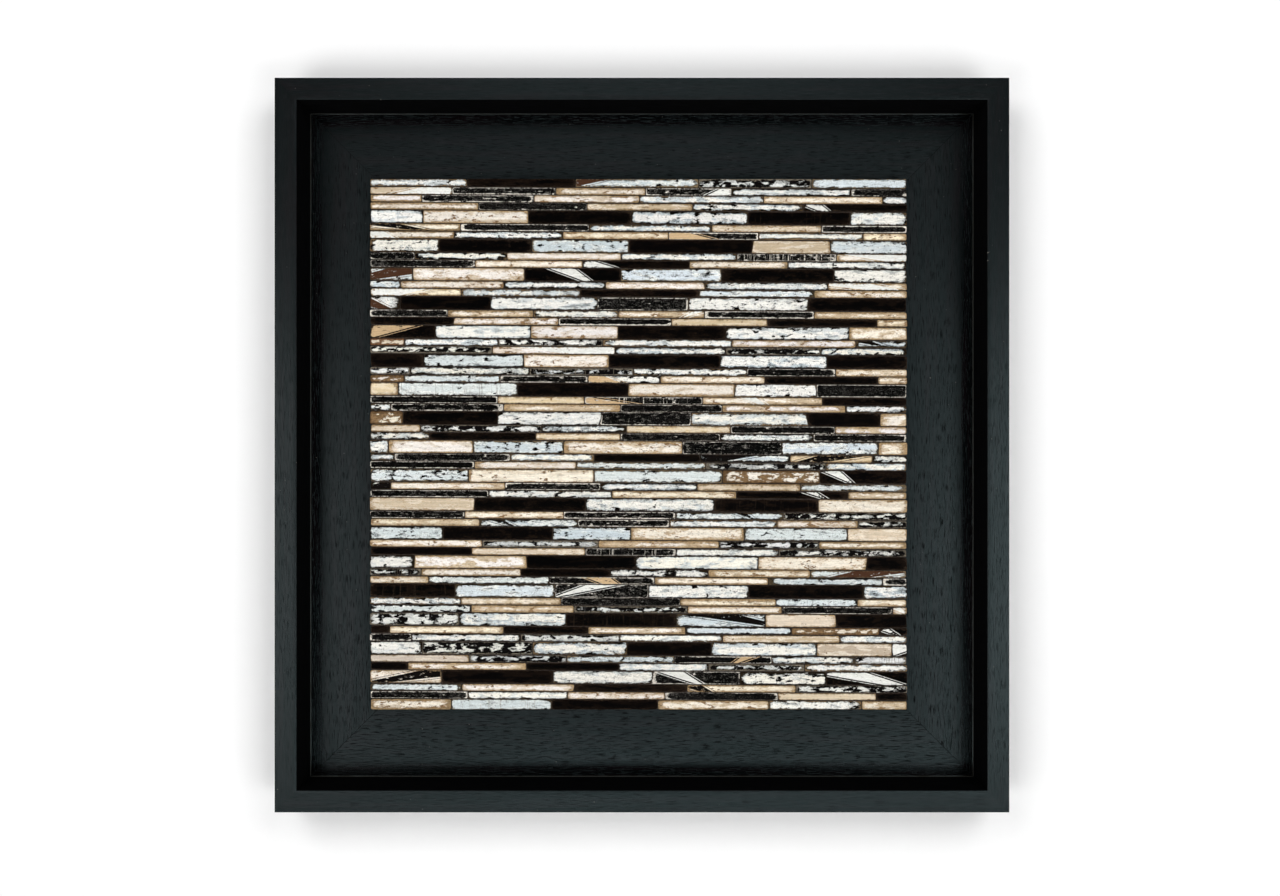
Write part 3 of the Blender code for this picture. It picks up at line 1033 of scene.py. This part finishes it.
def paint_fields(f):
    """All that the paint reads: the strip's numbers by name, the noises, and three fields made of them."""
    s = SimpleNamespace()
    seed, s.ticks, s.cracks = f.parts(f.number("marks", "Color"))
    s.specks = f.number("marks", "Alpha")
    s.coat, s.level = f.pair("coat")
    s.under, s.bite = f.pair("under")
    s.rim_coat, s.soft = f.pair("rim_coat")
    s.cloud_coat, s.cloudy = f.pair("cloud")
    s.tint_coat, s.tinted = f.pair("tint")
    s.line_coat, s.half = f.pair("line")
    for name in ("edge", "rim", "paint", "slash", "nibble", "broken"):
        setattr(s, name, f.number(name))
    place = f.timber()
    shift = f.node("ShaderNodeCombineXYZ", {0: f.times(seed, 3.7), 1: f.times(seed, 1.9), 2: seed})
    for name, values in PAINT_NOISES.items():
        setattr(s, name, f.noise(place, *values, shift=shift))
    s.squiggle = f.noise(place, 0.24, 0.34, 2, 0.5, shift=shift, distort=2.6)
    roam = f.total((s.wavy, 2.4, 0.5), (s.fleck, 2.2, 0.5), (s.slow, 1.8, 0.5))
    s.ragged = f.plus(roam, f.plus(s.broken, -0.55, 1.0), s.rim)
    s.near = f.step(s.rim, 0.0, 1.9, 1.0, 0.0)
    s.shade = f.times(f.step(s.streak, 0.35, 0.65, 0.90, 1.05), f.step(s.fine, 0.30, 0.70, 0.87, 1.10))
    return s


print(len(PAINT_NOISES) + 1, "noises in the paint")

# %% [markdown]
# ## The coat, and where it is worn through
#
# Paint that has weathered isn't even. The coat is clouded with two tints and, where it is pale, with a
# few blue-grey smudges. It stays where a ragged noise is above the wear level. That noise is partly the
# one that shaped the surface, so paint that is left is really thicker. In these functions f is the
# finish, and s holds the fields that the last cell read.

# %% The coat
def clouded_coat(f, s):
    """The coat with its two tints, its light and dark grain, and smudges. The tints gather towards the rim,
    partly as wear and partly as a painted shade of the rounded edge.
    """
    inward = f.step(s.ragged, 0.3, 2.8)
    # The shares of inward make clouds and tints gather towards the rim: partly wear, and partly a painted
    # shade of the rounded edge.
    clouds = f.total((s.cloud, 0.50), (s.streak, 0.20), (s.slow, 0.30), (inward, -0.09))
    face = f.mix(f.times(f.step(clouds, 0.43, 0.485), s.cloudy, clamp=True), s.coat, s.cloud_coat)
    tints = f.total((s.fine, 0.70), (s.fleck, 0.30), (inward, -0.04), (s.cloud, 0.35, 0.5))
    face = f.mix(f.times(f.step(tints, 0.515, 0.560), s.tinted, clamp=True), face, s.tint_coat)
    smudge = f.times(f.step(f.plus(s.fine, 0.30, s.cloud, 0.5), 0.575, 0.65), s.nibble, 0.75, clamp=True)
    return f.mix(smudge, f.shaded(face, s.shade), rgb(0.115, 0.145, 0.155))


def worn_through(f, s, face):
    """The coat where it is left, with painted shade round each hole's edge. Notes what is left for the bumps.
    """
    keep = f.total((s.patch, 0.60), (s.paint, 0.40), (s.fleck, 0.09, 0.5))
    keep = f.plus(s.near, f.plus(s.nibble, -0.045, -0.055), keep)
    over = f.less(keep, s.level)
    s.left = f.step(over, -0.004, 0.008)
    bare = f.shaded(s.under, f.step(s.fine, 0.3, 0.7, 0.55, 1.45))
    # Painted shade: a darker band where the coat ends at each hole, for the paint's raised edge.
    return f.shaded(f.mix(s.left, bare, face), f.step(f.away(over), 0.0, 0.016, 0.55, 1.0))


print("the coat comes from", clouded_coat.__name__, "and then", worn_through.__name__)

# %% [markdown]
# ## Marks and rims
#
# More layers follow, in the order in which a strip came by them. Hair-thin curling cracks, specks in
# clusters and ticks across the grain come first. The rim is worn to its own colour, with a wavy limit,
# and on the rubbed strips that rim breaks off in places. Last are the slash, the dark brown outline at
# the edge, partly filler smeared there and partly a painted shade of the joint, and the bare timber of
# the walls. Each function takes the colour so far and gives the new one, so a layer can be tried alone
# or left out.

# %% Marks and rims
def small_marks(f, s, colour):
    """Cracks where a bent noise crosses its middle, specks in clusters, and ticks across the grain."""
    crack = f.step(f.away(s.squiggle, 0.5), 0.016, 0.056, 1.0, 0.0)
    crack = f.times(crack, s.cracks, f.step(s.patch, 0.42, 0.46, 1.0, 0.0), clamp=True)
    colour = f.mix(crack, colour, f.shaded(s.under, 0.7))
    speck = f.step(f.plus(s.cloud, 0.30, f.plus(s.near, 0.04, s.fleck), 0.5), 0.605, 0.635)
    colour = f.mix(f.times(speck, s.specks, clamp=True), colour, f.shaded(s.under, 0.8))
    tick = f.times(f.step(s.cross, 0.60, 0.64), s.ticks, f.step(s.fine, 0.40, 0.50), clamp=True)
    return f.mix(tick, colour, s.rim_coat)


def worn_rim(f, s, colour):
    """The rim as far in as the bite, less what is broken off, and a dark line beside it."""
    bitten = f.step(s.ragged, f.less(s.bite, s.soft), f.math("ADD", s.bite, s.soft), 1.0, 0.0)
    gone = f.total((s.wavy, 0.35), (s.slow, 0.40), (s.fleck, 0.25), (s.broken, 0.12, 0.75))
    gone = f.times(f.step(gone, 0.525, 0.545), f.step(s.broken, 0.1, 0.3))
    worn = f.shaded(s.rim_coat, f.step(s.fine, 0.34, 0.66, 0.50, 1.25))
    colour = f.mix(f.times(bitten, f.less(1.0, gone)), colour, worn)
    line = f.step(f.away(f.less(s.ragged, s.bite), 0.10), 0.12, 0.42, 1.0, 0.0)
    line = f.times(line, s.nibble, f.step(s.patch, 0.60, 0.50), clamp=True)
    return f.mix(line, colour, f.shaded(s.under, 0.8))


def slash_band(f, s, colour):
    """The slash, with a thin second line 1.3 mm beyond its sides."""
    past = f.less(f.plus(s.fleck, 0.9, s.slash, 0.5), s.half)
    inside = f.step(past, -0.08, 0.10, 1.0, 0.0)
    second = f.step(f.away(past, 1.3), 0.14, 0.30, 1.0, 0.0)
    band = f.times(f.math("MAXIMUM", inside, second), f.step(s.half, 0.0, 0.5),
                   f.step(s.patch, 0.36, 0.40), f.step(s.ragged, 0.1, 0.3))
    return f.mix(band, colour, f.shaded(s.line_coat, s.shade))


def edge_and_walls(f, s, colour):
    """Filler smeared on the edge, partly a painted shade of the joint, and bare timber further down the
    walls.
    """
    # The dark brown band on the face's last few tenths of a mm is partly filler and partly painted shade of
    # the joint.
    smear_and_joint_shade = f.step(f.plus(s.fleck, 0.8, s.edge, 0.5), -0.02, 0.30, 0.92, 0.0)
    colour = f.mix(smear_and_joint_shade, colour, rgb(0.020, 0.012, 0.007))
    return f.mix(f.step(s.edge, -2.0, -0.9, 1.0, 0.0), colour, f.shaded((0.095, 0.055, 0.029), s.shade))


LAYERS = (small_marks, worn_rim, slash_band, edge_and_walls)
print("layers over the coat:", ", ".join(layer.__name__ for layer in LAYERS))

# %% [markdown]
# ## Old paint on teak
#
# The whole finish is the coat with its layers. Under them lies one fine relief, of specks, of the coat's
# thickness and of the grain. The paint is dull, so its shine is weak.

# %% Old paint
def old_paint():
    """The finish of every strip, layer on layer."""
    f = Finish("old_paint_on_teak")
    s = paint_fields(f)
    colour = worn_through(f, s, clouded_coat(f, s))
    for layer in LAYERS:
        colour = layer(f, s, colour)
    height = f.total((s.fleck, 0.10), (s.left, 0.10), (s.streak, 0.10))
    return f.done(colour, f.step(s.fleck, 0.3, 0.7, 0.48, 0.70), height, 1.0 * MM, 0.8, shine=0.02)


paint = old_paint()
for piece in row_pieces:
    piece.data.materials.append(paint)
print("painted", len(row_pieces), "rows with", paint.name)

# %% [markdown]
# ## Filler and plywood
#
# The filler is dark brown and dull, with a little dust. Plywood is streaked along its face grain, and
# on the edge its layers show as thin bands, which only need the depth into the board.

# %% Filler and plywood
PLY = 2.9 * MM           # a light and a dark layer together


def dark_filler():
    """Dark brown with paler lumps."""
    f = Finish("dark_filler")
    lumpy = f.noise(f.timber(), 0.5, 0.8, 4, 0.6)
    colour = f.mix(f.step(lumpy, 0.35, 0.7), rgb(0.007, 0.004, 0.003), rgb(0.030, 0.017, 0.009))
    return f.done(colour, f.step(lumpy, 0.3, 0.7, 0.9, 0.65), lumpy, 0.3 * MM)


def plywood():
    """Grain on the two faces, and bands of sin(2 pi * depth / ply) round the edge."""
    f = Finish("stained_plywood")
    here = f.node("ShaderNodeTexCoord", {}, "Object")
    grain = f.noise(here, 18.0, 18.0, 5, 0.6, z=420.0, distort=0.6)
    fine = f.noise(here, 60.0, 60.0, 3, 0.6, z=1900.0)
    tone = f.total((fine, 0.4), (grain, 0.6))
    layers = f.math("SINE", f.times(f.parts(here)[1], 2 * math.pi / PLY))
    face = f.mix(f.step(tone, 0.35, 0.68), rgb(0.032, 0.018, 0.010), rgb(0.105, 0.062, 0.034))
    bands = f.mix(f.step(layers, -0.3, 0.3), rgb(0.025, 0.014, 0.008), rgb(0.115, 0.070, 0.040))
    facing = f.parts(f.node("ShaderNodeNewGeometry", {}, "Normal"))[1]
    colour = f.mix(f.step(f.away(facing), 0.4, 0.6), bands, face)
    return f.done(colour, f.step(tone, 0.3, 0.7, 0.75, 0.55), tone, 0.25 * MM)


filler.data.materials.append(dark_filler())
board.data.materials.append(plywood())
print("filler and board finished")

# %% [markdown]
# ## Black stain on open-pored wood
#
# The rails are hardwood stained black and sealed thinly, so the pores stay open. The stain itself is
# all but black. The grey that is seen is a soft shine, so the flat faces that look out into the room
# are grey and the walls of the frame, which look at each other, stay black. Broad streaks of a slightly
# warmer black, fine fibres and short dull pores run along each rail, which is why the finish reads the
# map that runs along the timber. The shine is slightly blue-green and the nicks show a paler, dusty
# spot. A thin pale line at the foot of the wall is a painted highlight of the small hollow there, and
# the colour darkens along each mitre as a painted shade of the seam.

# %% Black stain
def black_stain():
    """The frame's outer faces and base."""
    f = Finish("black_stain")
    place, front = f.timber(), f.number("front")
    figure = f.noise(place, 0.008, 0.16, 4, 0.6, distort=0.3)
    strand = f.noise(place, 0.035, 0.85, 4, 0.6)
    pore = f.step(f.noise(place, 0.10, 1.4, 2, 0.5), 0.57, 0.63)
    pore = f.times(pore, f.step(front, 0.2, 0.8, 1.0, 0.5))
    fibre = f.step(f.noise(place, 0.085, 1.7, 3, 0.6), 0.50, 0.64)
    dust = f.step(f.noise(place, 0.5, 0.5, 1, 0.4), 0.80, 0.82)
    speck = f.math("MAXIMUM", dust, f.step(f.number("nick"), 0.10, 0.35))
    # Near the mitre seam the shine is dulled, and the colour is darkened as a painted shade of the seam.
    gap = f.times(f.step(f.number("seam"), 0.10, 0.32, 1.0, 0.0), f.step(front, 0.2, 0.8, 1.0, 0.3))

    warm = f.step(f.total((figure, 0.65), (strand, 0.35)), 0.46, 0.60)
    colour = f.mix(warm, rgb(0.0004, 0.0008, 0.0009), rgb(0.0026, 0.0013, 0.0017))
    colour = f.mix(f.times(fibre, 0.7), colour, rgb(0.0066, 0.0058, 0.0067))
    colour = f.mix(f.times(pore, 0.8), colour, rgb(0.0004, 0.0005, 0.0005))
    colour = f.mix(f.times(speck, 0.55), colour, rgb(0.18, 0.17, 0.15))
    # Painted highlight: a pale line along the hollow at the foot of the wall, where it would catch light.
    colour = f.mix(f.times(f.number("foot"), 0.30), colour, rgb(0.070, 0.068, 0.055))
    # Painted shade along the mitre seam.
    colour = f.mix(gap, colour, rgb(0.0006, 0.0006, 0.0006))
    rough = f.step(f.total((strand, 0.45), (figure, 0.55)), 0.3, 0.7, 0.37, 0.31)
    rough = f.plus(f.number("verge"), 0.14, f.plus(pore, 0.48, rough))
    rough = f.math("MAXIMUM", rough, f.times(gap, 0.9))
    height = f.total((strand, 0.6), (pore, -0.6))
    f.put(f.shader.inputs["Specular Tint"], rgb(0.72, 0.965, 1.0))
    return f.done(colour, rough, height, 0.14 * MM, 0.9, shine=0.25)


def matt_black():
    """The frame's inner walls: the same wood under a dull black that gives no shine."""
    f = Finish("matt_black")
    strand = f.noise(f.timber(), 0.05, 1.3, 4, 0.6)
    colour = f.mix(f.step(strand, 0.35, 0.65), rgb(0.0010, 0.0011, 0.0013), rgb(0.0026, 0.0028, 0.0032))
    return f.done(colour, f.step(strand, 0.3, 0.7, 0.95, 0.80), strand, 0.10 * MM, 0.5, shine=0.03)


stain, dull = black_stain(), matt_black()
for rail in rails:
    rail.data.materials.append(stain)
    rail.data.materials.append(dull)
print("stained", len(rails), "rails")

# %% [markdown]
# ## Light and surroundings
#
# Flat work is lit by soft boxes set well out to the sides, so that nothing shines straight back and
# black stays black. Four corner boxes give the even light and the soft shadow on the wall, but no shine.
# A ring of boxes gives only the shine on the frame, a little stronger below and on the right. Three boxes
# beyond the frame do the same for its outer sides, and one stands behind it. A pale floor lies below, and
# a pale wall stands just behind the panel. The wall is seen from its front only, so that the back of the
# panel can be looked at too.

# %% Light
CORNER = 0.72            # how far out the corner boxes stand (m)
BOXES = [
    # name, (x, y, height above the panel's middle), width, height, watts, what it gives none of
    ("box_left", (-0.92, -1.40, -0.18), 0.80, 0.9, 8.6, "diffuse"),
    ("box_right", (0.92, -1.40, -0.20), 0.80, 0.9, 10.2, "diffuse"),
    ("box_below", (0.0, -1.40, -0.92), 1.0, 0.80, 11.4, "diffuse"),
    ("box_above", (0.0, -1.40, 0.92), 1.0, 0.80, 4.0, "diffuse"),
    ("box_behind", (0.6, 1.8, 0.855), 1.5, 1.5, 14.0, None),
    ("box_outer_left", (-1.9, 0.75, 0.0), 1.3, 1.3, 9.0, "diffuse"),
    ("box_outer_right", (1.9, 0.75, 0.0), 1.3, 1.3, 9.0, "diffuse"),
    ("box_outer_top", (0.0, 0.75, 1.9), 1.6, 1.3, 9.0, "diffuse"),
]


def soft_box(name, place, width, height, watts, without=None):
    """A rectangular light that faces the panel, without its plain (diffuse) or its glossy share."""
    data = bpy.data.lights.new(name, "AREA")
    data.shape = "RECTANGLE"
    data.size, data.size_y, data.energy = width, height, watts
    made = bpy.data.objects.new(name, data)
    made.location = (place[0], place[1], middle.z + place[2])
    made.rotation_euler = (made.location - middle).to_track_quat("Z", "Y").to_euler()
    if without:
        setattr(made, "visible_" + without, False)
    bpy.context.scene.collection.objects.link(made)
    return made


for side in (-1, 1):
    for rise in (-1, 1):
        place = (CORNER * side, -1.45, CORNER * rise)
        soft_box("box_corner", place, 0.88, 0.88, 12.7 - 1.2 * rise, "glossy")
boxes = {values[0]: soft_box(*values) for values in BOXES}
boxes["box_left"].data.color = (1.0, 0.90, 0.89)
boxes["box_below"].data.color = (0.93, 1.0, 1.0)

world = bpy.data.worlds.new("pale_room")
world.use_nodes = True
bpy.context.scene.world = world
world.cycles_visibility.glossy = False
sky = world.node_tree.nodes["Background"]
sky.inputs["Color"].default_value = rgb(1.0, 1.0, 1.0)
sky.inputs["Strength"].default_value = 0.08
bpy.context.scene.view_settings.view_transform = "Standard"

# %% [markdown]
# ## Floor and wall
#
# Both are single flat sheets that belong to the stage and not to the panel. The wall lets everything
# through when it is seen from behind, and it throws no shadow and no light, so it only catches the
# panel's shadow.

# %% Floor and wall
def flat_sheet(name, corners, grey):
    """One flat four-cornered sheet with a dull pale finish."""
    mesh = bpy.data.meshes.new(name)
    mesh.from_pydata(corners, [], [(0, 1, 2, 3)])
    made = bpy.data.objects.new(name, mesh)
    bpy.context.scene.collection.objects.link(made)
    f = Finish(name + "_finish")
    f.put(f.shader.inputs["Base Color"], rgb(grey, grey, grey))
    f.put(f.shader.inputs["Roughness"], 0.9)
    mesh.materials.append(f.material)
    return made, f


FLOOR_Z, WALL_Y = cad_low.z - 0.5, cad_high.y + 0.001
FLOOR_OUTLINE = ((-6, -6), (6, -6), (6, 6), (-6, 6))
WALL_OUTLINE = ((-1.5, -1.0), (1.5, -1.0), (1.5, 0.6), (-1.5, 0.6))
flat_sheet("floor", [(x, y, FLOOR_Z) for x, y in FLOOR_OUTLINE], 0.82)
wall, f = flat_sheet("wall", [(x, WALL_Y, z) for x, z in WALL_OUTLINE], 0.93)
clear = f.node("ShaderNodeBsdfTransparent", {})
behind = f.node("ShaderNodeNewGeometry", {}, "Backfacing")
see = f.node("ShaderNodeMixShader", {0: behind, 1: f.shader.outputs[0], 2: clear})
f.put(f.tree.nodes["Material Output"].inputs["Surface"], see)
wall.visible_shadow = False
wall.visible_diffuse = False
wall.visible_glossy = False
print("floor", round(FLOOR_Z, 3), "m, and wall", round(WALL_Y - cad_high.y, 4), "m behind the panel")

# %% [markdown]
